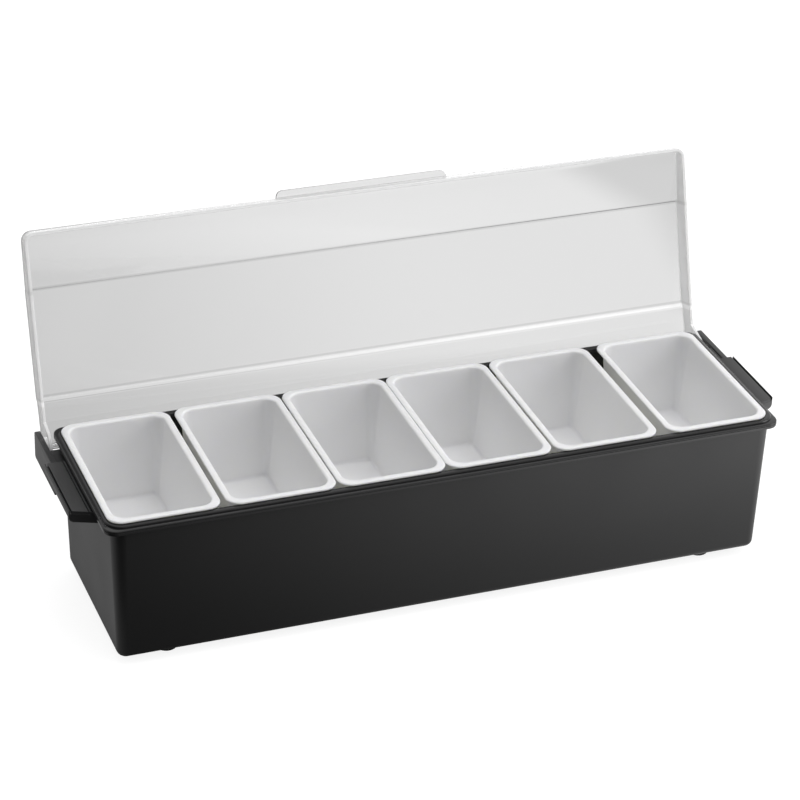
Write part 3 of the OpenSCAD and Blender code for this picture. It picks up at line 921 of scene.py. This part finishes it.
# %% [markdown]
# ## Six lift-out trays
#
# A tray hangs by its flange on the tub's bead. Its outer edge is a full roll, and its top runs
# over a soft inner lip into walls that lean by five degrees, so that trays nest when stacked.
# Body and flange have different corner radii again, which the levels allow in one skin. All
# six share one section. Only the place along the row comes from each tray's own CAD node.

# %% Trays
TRAY_WALL = 1.5
TRAY_DRAFT = math.tan(math.radians(5))
TRAY_FLANGE = 2.0
TRAY_STEP = 3.5
TRAY_CORNER = 10.5
TRAY_BODY_CORNER = 11.0
TRAY_BEND = 4.0
TRAY_IN_BEND = 2.5
TRAY_LIP = 1.4
TRAY_COUNT = 6
# a full round stops a hair short of its neighbour, so that no two points coincide
ALMOST = 0.999


def tray_levels():
    """Levels of a tray, from the floor outside, over the rim, to the floor inside."""
    axis_x = TRAY_HALF_X - TRAY_STEP - TRAY_BODY_CORNER
    axis_y = TRAY_HALF_Y - TRAY_STEP - TRAY_BODY_CORNER
    under = TRAY_TOP - TRAY_FLANGE
    roll = TRAY_FLANGE / 2

    def body_at(height):
        return TRAY_BODY_CORNER - (under - height) * TRAY_DRAFT

    inside = TRAY_BOTTOM + TRAY_WALL
    outer = soften([
        (0, TRAY_BOTTOM, 0),
        (body_at(TRAY_BOTTOM), TRAY_BOTTOM, TRAY_BEND),
        (body_at(under), under, 0),
    ])
    edge = soften([
        (TRAY_CORNER - 2 * roll, under, 0),
        (TRAY_CORNER, under, roll * ALMOST),
        (TRAY_CORNER, TRAY_TOP, roll * ALMOST),
        (TRAY_CORNER - 2 * roll, TRAY_TOP, 0),
    ])
    lip_low = TRAY_TOP - TRAY_LIP
    lip_out = TRAY_BODY_CORNER - TRAY_WALL + TRAY_LIP
    inner = soften([
        (lip_out, TRAY_TOP, 0),
        (TRAY_BODY_CORNER - TRAY_WALL, TRAY_TOP, TRAY_LIP * ALMOST),
        (TRAY_BODY_CORNER - TRAY_WALL, lip_low, 0),
        (body_at(inside) - TRAY_WALL, inside, TRAY_IN_BEND),
        (0, inside, 0),
    ])
    flange_x = TRAY_HALF_X - TRAY_CORNER
    flange_y = TRAY_HALF_Y - TRAY_CORNER
    levels = [floor_line(axis_x, axis_y, TRAY_BOTTOM)]
    levels += levels_on(axis_x, axis_y, outer)
    levels += levels_on(flange_x, flange_y, edge)
    levels += levels_on(axis_x, axis_y, inner)
    levels.append(floor_line(axis_x, axis_y, inside))
    return levels


def make_tray(number):
    """Makes one tray, in the place of its CAD node."""
    low, high = box_mm(f"tray_{number}")
    centre = ((low.x + high.x) / 2, (low.y + high.y) / 2, 0)
    piece = skin_of_levels(f"white_tray_{number}", tray_levels(), centre, tray_white)
    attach(piece, f"tray_{number}")
    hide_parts(f"tray_{number}")


for number in range(1, TRAY_COUNT + 1):
    make_tray(number)

# %% [markdown]
# ## Feet
#
# Four soft buttons keep the tub from sliding. A foot is a short round stack: the same tree with
# the radius equal to the half length. Its lower edge is softened where it meets the table.

# %% Feet
FOOT_EDGE = 1.6
FOOT_TOP_EDGE = 0.1


def make_foot(node):
    """Makes one rubber foot, in the place of its CAD node."""
    low, high = box_mm(node)
    section = soften([
        (0, low.z, 0),
        (FOOT_RADIUS, low.z, FOOT_EDGE),
        (FOOT_RADIUS, high.z, FOOT_TOP_EDGE),
        (0, high.z, 0),
    ])
    centre = ((low.x + high.x) / 2, (low.y + high.y) / 2, 0)
    piece = skin_of_levels(f"rubber_{node}", levels_on(0, 0, section), centre, foot_rubber)
    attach(piece, "base")
    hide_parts(node)


for end in ("front", "rear"):
    for side in ("left", "right"):
        make_foot(f"foot_{end}_{side}")

# %% [markdown]
# ## Handles, grip pads and lid: softened copies
#
# These shapes are not stacks of rounded rectangles, and their CAD solids already have every
# block, ear, shelf, leg and pin. What they lack is what a mould gives each edge, a round of a
# few tenths of a millimetre that catches the light. A CAD mesh is loose triangles, so a copy is
# welded, its flat faces are joined again, and a Bevel modifier rounds every edge that is
# sharper than thirty degrees.
#
# A grip pad also has a narrow groove along its outer edge. Two cuts across X free a thin strip
# of the pad, the strip is taken out, and the two open ends are capped.

# %% Softened copy of a CAD piece
COPY_WELD = 2e-6
ON_PLANE = 1e-7
FLAT_WITHIN = math.radians(0.4)
SHARP_ABOVE = math.radians(30)
BEVEL_STEPS = 3


def cut_groove(skin, first_x, last_x):
    """Takes out what lies between two places along X, in millimetres, and caps the ends."""
    for place in (first_x, last_x):
        bmesh.ops.bisect_plane(
            skin, geom=skin.verts[:] + skin.edges[:] + skin.faces[:],
            plane_co=(place * MM, 0, 0), plane_no=(1, 0, 0), dist=ON_PLANE,
        )
    inside = [
        face for face in skin.faces
        if first_x < face.calc_center_median().x / MM < last_x
    ]
    bmesh.ops.delete(skin, geom=inside, context="FACES")
    rims = [edge for edge in skin.edges if edge.is_boundary]
    bmesh.ops.edgeloop_fill(skin, edges=rims)
    bmesh.ops.recalc_face_normals(skin, faces=skin.faces)


def softened_copy(node, name, edge_round, finish, groove=None):
    """A welded copy of a CAD node with rounded edges; edge_round is in millimetres."""
    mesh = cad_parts[node].data.copy()
    skin = bmesh.new()
    skin.from_mesh(mesh)
    bmesh.ops.remove_doubles(skin, verts=skin.verts, dist=COPY_WELD)
    bmesh.ops.dissolve_limit(
        skin, angle_limit=FLAT_WITHIN, verts=skin.verts, edges=skin.edges,
        use_dissolve_boundaries=False,
    )
    if groove:
        cut_groove(skin, *groove)
    for face in skin.faces:
        face.smooth = True
    skin.to_mesh(mesh)
    skin.free()
    mesh.materials.clear()
    mesh.materials.append(finish)
    piece = bpy.data.objects.new(name, mesh)
    bpy.context.collection.objects.link(piece)
    bevel = piece.modifiers.new("edge round", "BEVEL")
    bevel.width = edge_round * MM
    bevel.segments = BEVEL_STEPS
    bevel.limit_method = "ANGLE"
    bevel.angle_limit = SHARP_ABOVE
    bevel.use_clamp_overlap = False
    bevel.harden_normals = True
    return freeze(piece)


# %% Handles, pads and lid
HANDLE_ROUND = 0.3
PAD_ROUND = 0.3
LID_ROUND = 0.35
# the pad's groove, measured inwards from its outer edge
PAD_GROOVE_START = 0.7
PAD_GROOVE_END = 2.0

for side in ("left", "right"):
    handle = softened_copy(
        f"{side}_handle", f"{side}_handle_moulding", HANDLE_ROUND, handle_black,
    )
    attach(handle, "base")
    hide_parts(f"{side}_handle")
    pad_low, pad_high = box_mm(f"{side}_grip_pad")
    if side == "left":
        groove = (pad_low.x + PAD_GROOVE_START, pad_low.x + PAD_GROOVE_END)
    else:
        groove = (pad_high.x - PAD_GROOVE_END, pad_high.x - PAD_GROOVE_START)
    pad = softened_copy(
        f"{side}_grip_pad", f"{side}_soft_pad", PAD_ROUND, pad_black, groove=groove,
    )
    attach(pad, "base")
    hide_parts(f"{side}_grip_pad")

lid = softened_copy("lid", "clear_flip_lid", LID_ROUND, lid_clear)
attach(lid, "lid")
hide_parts("lid")

# %% [markdown]
# ## Studio floor
#
# The floor is pale and shows white to the camera and through the lid. Part of its white is its
# own glow and part is lamplight, so the object still leaves a soft shadow.
#
# Clear and black plastic are drawn almost wholly by what lies behind them and by what they
# mirror, so the floor has two more faces, both patterns of light on its Object coordinates:
#
# - Behind the lid it is a lit field, a little dimmer on the left and beyond the right end, and
#   dark far away, with a painted shadow of the tub close to it, so that rays which the lid's
#   edges bend come back darker.
# - In reflections it is a dark table with light cards: one fades in towards the right, and one
#   lies beside the tub on the left. The first is weaker far in front, and weaker right before
#   the tub, where that is a painted shadow of the tub.
#
# A ray that was refracted by the lid counts both as glossy and as transmitted, so the mirror
# share is multiplied by "not transmitted".

# %% The field behind the lid
# strengths, and the places in metres where each step starts and ends
FIELD_LEFT = 0.71
FIELD_RIGHT = 1.01
FIELD_ACROSS = (-0.35, 0.20)
FIELD_LOW = 0.92
# painted shadow of the tub: the field is darker close to it
FIELD_PAINTED_SHADOW = 0.35
FIELD_PAINTED_SHADOW_ENDS = (0.12, 0.21)
FIELD_LOW_ENDS = (0.25, 0.29)
FIELD_FAR = 0.25
FIELD_FAR_STARTS = (0.8, 1.3)
FIELD_BESIDE = 0.80
FIELD_BESIDE_STARTS = (0.38, 0.45)


def product(tree, *factors):
    """All the factors multiplied together."""
    result = factors[0]
    for factor in factors[1:]:
        result = compute(tree, "MULTIPLY", result, factor)
    return result


def lit_field(tree, place):
    """Strength of the field that the lid lets through."""
    x, y, _ = parts_of(tree, place)
    away = compute(tree, "ABSOLUTE", y)
    length = add_node(tree, "ShaderNodeVectorMath", operation="LENGTH")
    tree.links.new(place, length.inputs[0])
    distance = length.outputs["Value"]
    return product(
        tree,
        ramp(tree, x, *FIELD_ACROSS, FIELD_LEFT, FIELD_RIGHT),
        # painted shadow of the tub close to it
        ramp(tree, away, *FIELD_PAINTED_SHADOW_ENDS, FIELD_PAINTED_SHADOW, FIELD_LOW),
        ramp(tree, away, *FIELD_LOW_ENDS, 1.0, 1 / FIELD_LOW),
        ramp(tree, distance, *FIELD_FAR_STARTS, 1.0, FIELD_FAR),
        ramp(tree, x, *FIELD_BESIDE_STARTS, 1.0, FIELD_BESIDE),
    )


# %% The cards in reflections
# strengths, and places in metres in the same way
TABLE_DARK = 0.02
RIGHT_CARD = 2.95
RIGHT_CARD_ACROSS = (-0.36, 0.75)
# painted shadow of the tub in reflections: the right card is weaker right before it
RIGHT_CARD_PAINTED_SHADOW = 0.55
RIGHT_CARD_PAINTED_SHADOW_ENDS = (-0.11, -0.25)
RIGHT_CARD_FAR = 0.4
RIGHT_CARD_FAR_STARTS = (-0.38, -0.54)
LEFT_CARD = 0.42
LEFT_CARD_STARTS = (-0.23, -0.26)
LEFT_CARD_DEEP = (-0.18, -0.06)


def light_cards(tree, place):
    """Strength of the table and its cards in reflections."""
    x, y, _ = parts_of(tree, place)
    right = product(
        tree,
        ramp(tree, x, *RIGHT_CARD_ACROSS, 0.0, RIGHT_CARD),
        # painted shadow of the tub in reflections
        ramp(tree, y, *RIGHT_CARD_PAINTED_SHADOW_ENDS, RIGHT_CARD_PAINTED_SHADOW, 1.0),
        ramp(tree, y, *RIGHT_CARD_FAR_STARTS, 1.0, RIGHT_CARD_FAR),
    )
    left = product(
        tree,
        ramp(tree, x, *LEFT_CARD_STARTS, 0.0, LEFT_CARD),
        ramp(tree, y, *LEFT_CARD_DEEP, 0.0, 1.0),
    )
    return compute(tree, "ADD", compute(tree, "ADD", right, left), TABLE_DARK)


# %% Floor
FLOOR_REACH = 6.0
FLOOR_TONE = 0.30
FLOOR_GLOW = 0.86


def glow_of(tree, strength):
    """A white emission of a given strength."""
    glow = add_node(tree, "ShaderNodeEmission")
    feed(tree, glow.inputs["Strength"], strength)
    return glow


def floor_finish():
    """Pale matte floor with a soft shadow, a lit field behind clear plastic, and cards."""
    material, tree, shader = start_material("pale_floor")
    tree.nodes.remove(shader)
    place = object_place(tree)
    ray = add_node(tree, "ShaderNodeLightPath")
    matte = add_node(tree, "ShaderNodeBsdfDiffuse")
    matte.inputs["Color"].default_value = (FLOOR_TONE, FLOOR_TONE, FLOOR_TONE, 1)
    own = glow_of(tree, compute(tree, "MULTIPLY", ray.outputs["Is Camera Ray"], FLOOR_GLOW))
    direct = add_node(tree, "ShaderNodeAddShader")
    tree.links.new(matte.outputs[0], direct.inputs[0])
    tree.links.new(own.outputs[0], direct.inputs[1])

    behind = glow_of(tree, lit_field(tree, place))
    bent_ray = ray.outputs["Is Transmission Ray"]
    direct_or_behind = mix_surfaces(tree, bent_ray, direct, behind)

    mirrored = glow_of(tree, light_cards(tree, place))
    not_bent = compute(tree, "SUBTRACT", 1.0, bent_ray)
    mirror_ray = compute(tree, "MULTIPLY", ray.outputs["Is Glossy Ray"], not_bent)
    surface = mix_surfaces(tree, mirror_ray, direct_or_behind, mirrored)
    tree.links.new(surface.outputs[0], tree.nodes["Material Output"].inputs["Surface"])
    return material


def make_floor():
    """The studio floor, a square that is far larger than the view."""
    mesh = bpy.data.meshes.new("studio_floor")
    turns = ((-1, -1), (1, -1), (1, 1), (-1, 1))
    corners = [(FLOOR_REACH * x, FLOOR_REACH * y, 0) for x, y in turns]
    mesh.from_pydata(corners, [], [(0, 1, 2, 3)])
    mesh.materials.append(floor_finish())
    floor = bpy.data.objects.new("studio_floor", mesh)
    bpy.context.collection.objects.link(floor)
    return floor


floor = make_floor()
print("floor:", 2 * FLOOR_REACH, "m wide,", len(floor.active_material.node_tree.nodes), "nodes")

# %% [markdown]
# ## World and lamps
#
# The world is white to the camera. For light and reflections it is bright towards the upper
# right and nearly dark on the lower left, and through the lid it is dimmed, so that rays which
# pass over the floor's far edge don't wash the panel out. A softbox on the right brings
# out that end of the tub, and a faint one overhead fills the trays. Reflections don't see the
# upper one, since it would be a bright patch in the lid.

# %% World and lamps
SKY_SIDE = (0.55, 0.35, 0.75)
SKY_DARK = 0.06
SKY_DARK_BELOW = -0.7
SKY_BRIGHT = 0.92
SKY_BRIGHT_ABOVE = 0.9
SKY_LOST_IN_LID = 0.7


def make_world():
    """Soft light that grows towards one side, white to the camera, dimmed by the lid."""
    world = bpy.data.worlds.new("studio_world")
    bpy.context.scene.world = world
    world.use_nodes = True
    tree = world.node_tree
    background = tree.nodes["Background"]
    ray = add_node(tree, "ShaderNodeLightPath")
    place = add_node(tree, "ShaderNodeTexCoord")
    towards = add_node(tree, "ShaderNodeVectorMath", operation="DOT_PRODUCT")
    towards.inputs[1].default_value = Vector(SKY_SIDE).normalized()
    tree.links.new(place.outputs["Generated"], towards.inputs[0])
    grade = ramp(
        tree, towards.outputs["Value"],
        SKY_DARK_BELOW, SKY_BRIGHT_ABOVE, SKY_DARK, SKY_BRIGHT,
    )
    lost = compute(tree, "MULTIPLY", ray.outputs["Is Transmission Ray"], SKY_LOST_IN_LID)
    dimmed = compute(tree, "MULTIPLY", grade, compute(tree, "SUBTRACT", 1.0, lost))
    strength = compute(tree, "MAXIMUM", dimmed, ray.outputs["Is Camera Ray"])
    tree.links.new(strength, background.inputs["Strength"])
    background.inputs["Color"].default_value = (1, 1, 1, 1)


def soft_lamp(name, place, aim, size, power, in_mirrors):
    """A square softbox aimed at a point; sizes in metres, power in watts."""
    data = bpy.data.lights.new(name, "AREA")
    data.shape = "SQUARE"
    data.size = size
    data.energy = power
    lamp = bpy.data.objects.new(name, data)
    lamp.location = place
    direction = Vector(aim) - Vector(place)
    lamp.rotation_euler = direction.to_track_quat("-Z", "Y").to_euler()
    lamp.visible_glossy = in_mirrors
    bpy.context.collection.objects.link(lamp)
    print(f"{name}: {size} m wide, {power} W")


make_world()
soft_lamp(
    "window_right", place=(1.6, -1.0, 0.9), aim=(0.1, 0, 0.05),
    size=1.2, power=12, in_mirrors=True,
)
soft_lamp(
    "ceiling", place=(0.2, -0.2, 2.2), aim=(0, 0, 0),
    size=1.6, power=14, in_mirrors=False,
)
bpy.context.scene.view_settings.view_transform = "Standard"
